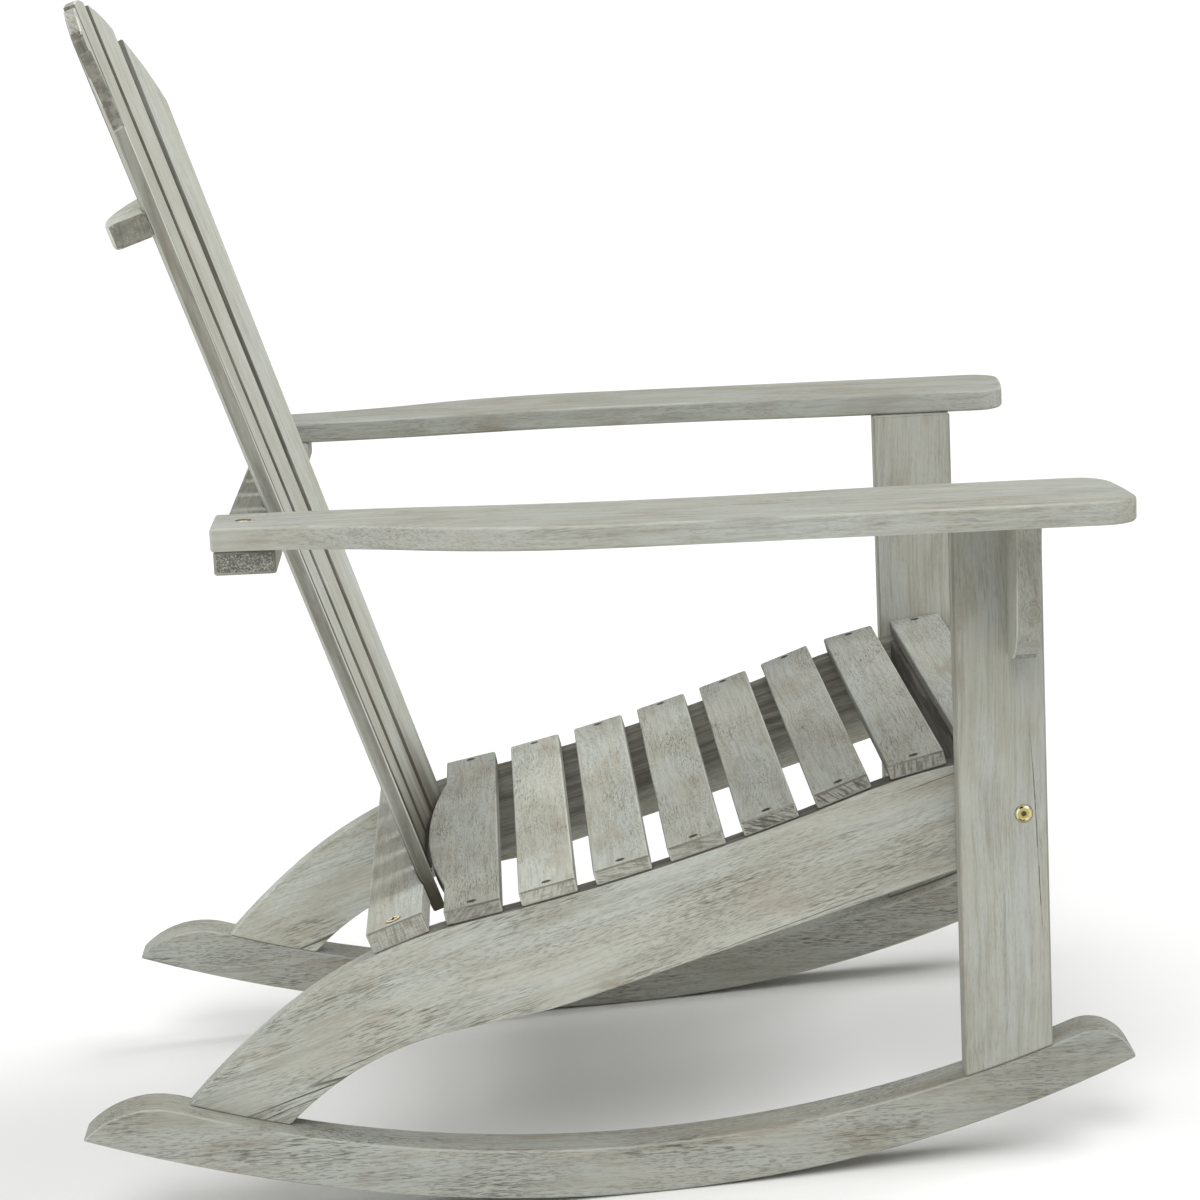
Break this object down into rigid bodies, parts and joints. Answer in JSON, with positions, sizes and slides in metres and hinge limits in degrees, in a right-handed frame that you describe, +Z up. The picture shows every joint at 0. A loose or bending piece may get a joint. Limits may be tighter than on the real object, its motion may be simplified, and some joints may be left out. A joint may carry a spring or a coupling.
{
  "type": "rocking chair",
  "caption": "Adirondack-style wooden rocking chair with a slatted seat, a fanned arched back, broad flat arms and curved rockers.",
  "frame": {"origin": "on the floor, under the middle of the chair's outline seen from above", "axes": "+Z up, the chair faces -Y, +X toward the sitter's left"},
  "size_m": [0.777, 0.8618, 0.9801],
  "materials": {
    "wood": "grey-washed, matt",
    "wood_dark": "grey-washed, matt, darker",
    "brass": "satin",
    "screw_steel": "dull"
  },
  "bodies": {
    "root": {"rocker_right": "wood", "rocker_left": "wood", "rail_right": "wood", "rail_left": "wood", "leg_right": "wood", "leg_left": "wood", "arm_right": "wood", "arm_left": "wood", "corbel_right": "wood", "corbel_left": "wood", "arm_brace": "wood_dark", "upper_brace": "wood", "lower_cross": "wood", "apron": "wood_dark", "back_slat_1": "wood", "back_slat_2": "wood", "back_slat_3": "wood", "back_slat_4": "wood", "back_slat_5": "wood", "seat_slat_1": "wood", "seat_slat_2": "wood", "seat_slat_3": "wood", "seat_slat_4": "wood", "seat_slat_5": "wood", "seat_slat_6": "wood", "seat_slat_7": "wood", "seat_slat_8": "wood", "seat_screws": "screw_steel", "leg_bolts": "brass", "cross_screws": "brass", "arm_screws": "brass"}
  },
  "joints": []
}
